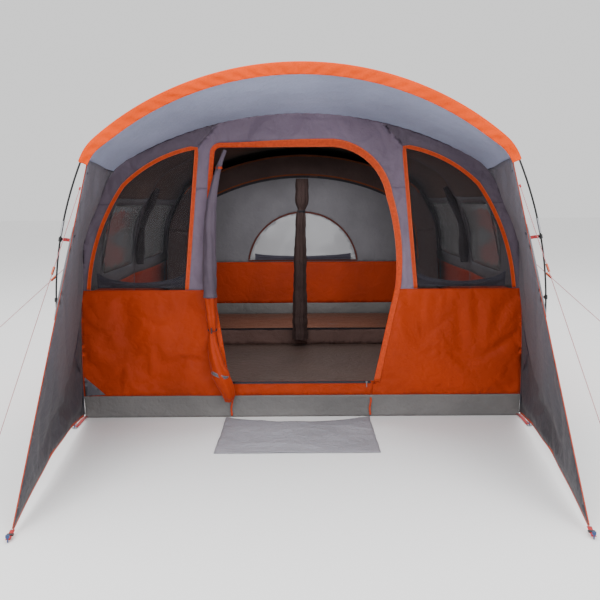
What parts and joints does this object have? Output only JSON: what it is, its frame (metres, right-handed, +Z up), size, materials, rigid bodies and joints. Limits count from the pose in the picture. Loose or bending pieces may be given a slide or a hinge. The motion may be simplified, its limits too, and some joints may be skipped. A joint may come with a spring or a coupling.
{
  "type": "tunnel tent",
  "caption": "Tunnel tent on bent poles with an open doorway, a porch canopy, side wings, a sleeping compartment and guylines.",
  "frame": {"origin": "underside of the groundsheet, at ground level, in its middle", "axes": "+X to the right seen from the doorway side, +Y from the doorway to the rear wall, +Z up"},
  "size_m": [5.018, 6.6555, 2.2108],
  "materials": {
    "fly_orange": "coated polyester, matt",
    "band_orange": "coated polyester, matt",
    "edge_tape_orange": "woven tape",
    "fly_grey": "coated polyester, matt",
    "wall_lilac": "coated polyester, matt",
    "canopy_grey": "coated polyester, translucent",
    "groundsheet_grey": "coated woven sheet",
    "bedroom_floor": "coated woven sheet",
    "inner_brown": "breathable polyester",
    "blind_grey": "polyester",
    "mesh_black": "insect mesh",
    "window_film": "clear film",
    "zip_red_brown": "zip tape",
    "mat_grey": "coated sheet",
    "pole_black": "wrapped fibreglass",
    "ferrule_metal": "drawn",
    "pin_steel": "zinc plated",
    "clip_black": "moulded",
    "webbing_red": "woven webbing",
    "peg_steel": "zinc plated",
    "guyline": "braided cord",
    "runner_orange": "moulded",
    "toggle_dark": "moulded",
    "zip_metal": "cast"
  },
  "bodies": {
    "tent": {"bedroom_floor": "bedroom_floor", "canopy_pole_sleeve": "band_orange", "canopy_roof": "canopy_grey", "corner_rings": "pin_steel", "curtain_tie": "blind_grey", "divider_curtain_roll": "inner_brown", "door_roll": "wall_lilac", "door_trim": "edge_tape_orange", "door_zip_track": "mesh_black", "fly_roof": "fly_grey", "front_arch_pole": "pole_black", "front_wall_frame": "wall_lilac", "front_wall_lower": "fly_orange", "front_window_blinds": "blind_grey", "front_window_mesh": "mesh_black", "front_window_trims": "edge_tape_orange", "groundsheet": "groundsheet_grey", "guy_loops": "webbing_red", "guy_pegs": "peg_steel", "guyline_corner_left": "guyline", "guyline_corner_right": "guyline", "guyline_side_left": "guyline", "guyline_side_right": "guyline", "hoop_pole_front": "pole_black", "hoop_pole_rear": "pole_black", "hoop_pole_second": "pole_black", "hoop_pole_third": "pole_black", "hoop_sleeves": "fly_grey", "inner_door_panel": "inner_brown", "inner_tent_shell": "inner_brown", "mat_ties": "edge_tape_orange", "pole_clips": "clip_black", "pole_ferrules": "ferrule_metal", "pole_foot_pins": "pin_steel", "rear_wall_lower": "fly_orange", "rear_wall_upper": "fly_grey", "rear_window_blind": "blind_grey", "rear_window_film": "window_film", "rear_window_trim": "zip_red_brown", "side_curtain_rolls": "inner_brown", "side_lower_panels": "fly_orange", "side_upper_panels": "fly_grey", "side_windows": "window_film", "tent_pegs": "peg_steel", "webbing_straps": "webbing_red", "wing_edge_tapes": "edge_tape_orange", "wing_left": "fly_grey", "wing_right": "fly_grey", "wing_strap_buckles": "clip_black"},
    "guy_runner_corner_left": {"guy_runner_corner_left": "runner_orange"},
    "guy_runner_corner_right": {"guy_runner_corner_right": "runner_orange"},
    "guy_runner_side_left": {"guy_runner_side_left": "runner_orange"},
    "guy_runner_side_right": {"guy_runner_side_right": "runner_orange"},
    "door_zip_slider": {"door_zip_slider": "zip_metal"},
    "door_zip_puller": {"door_zip_puller": "runner_orange"},
    "door_toggle_upper": {"door_toggle_upper": "toggle_dark"},
    "door_toggle_lower": {"door_toggle_lower": "toggle_dark"},
    "doormat": {"doormat": "mat_grey"}
  },
  "joints": [
    {"name": "runner_corner_left_slide", "type": "slide", "parent": "tent", "child": "guy_runner_corner_left", "axis": [-0.2489, -0.3106, -0.9174], "range_m": [-0.25, 0.55]},
    {"name": "runner_corner_right_slide", "type": "slide", "parent": "tent", "child": "guy_runner_corner_right", "axis": [0.2489, -0.3106, -0.9174], "range_m": [-0.25, 0.55]},
    {"name": "runner_side_left_slide", "type": "slide", "parent": "tent", "child": "guy_runner_side_left", "axis": [-0.5602, -0.5725, -0.5988], "range_m": [-0.12, 0.6]},
    {"name": "runner_side_right_slide", "type": "slide", "parent": "tent", "child": "guy_runner_side_right", "axis": [0.5602, -0.5725, -0.5988], "range_m": [-0.12, 0.6]},
    {"name": "door_zip_slide", "type": "slide", "parent": "tent", "child": "door_zip_slider", "axis": [-1, 0, 0], "range_m": [0, 0.81]},
    {"name": "door_zip_puller_hinge", "type": "hinge", "parent": "door_zip_slider", "child": "door_zip_puller", "pos_m": [0.44, -2.3843, 0.241], "axis": [1, 0, 0], "range_deg": [-100, 0]},
    {"name": "door_toggle_upper_turn", "type": "hinge", "parent": "tent", "child": "door_toggle_upper", "pos_m": [-0.54, -2.443, 1.68], "axis": [0, 1, 0], "range_deg": [-90, 90]},
    {"name": "door_toggle_lower_turn", "type": "hinge", "parent": "tent", "child": "door_toggle_lower", "pos_m": [-0.596, -2.469, 0.615], "axis": [0, 1, 0], "range_deg": [-90, 90]},
    {"name": "doormat_lift", "type": "hinge", "parent": "tent", "child": "doormat", "pos_m": [0, -2.399, 0], "axis": [-1, 0, 0], "range_deg": [0, 60]}
  ]
}
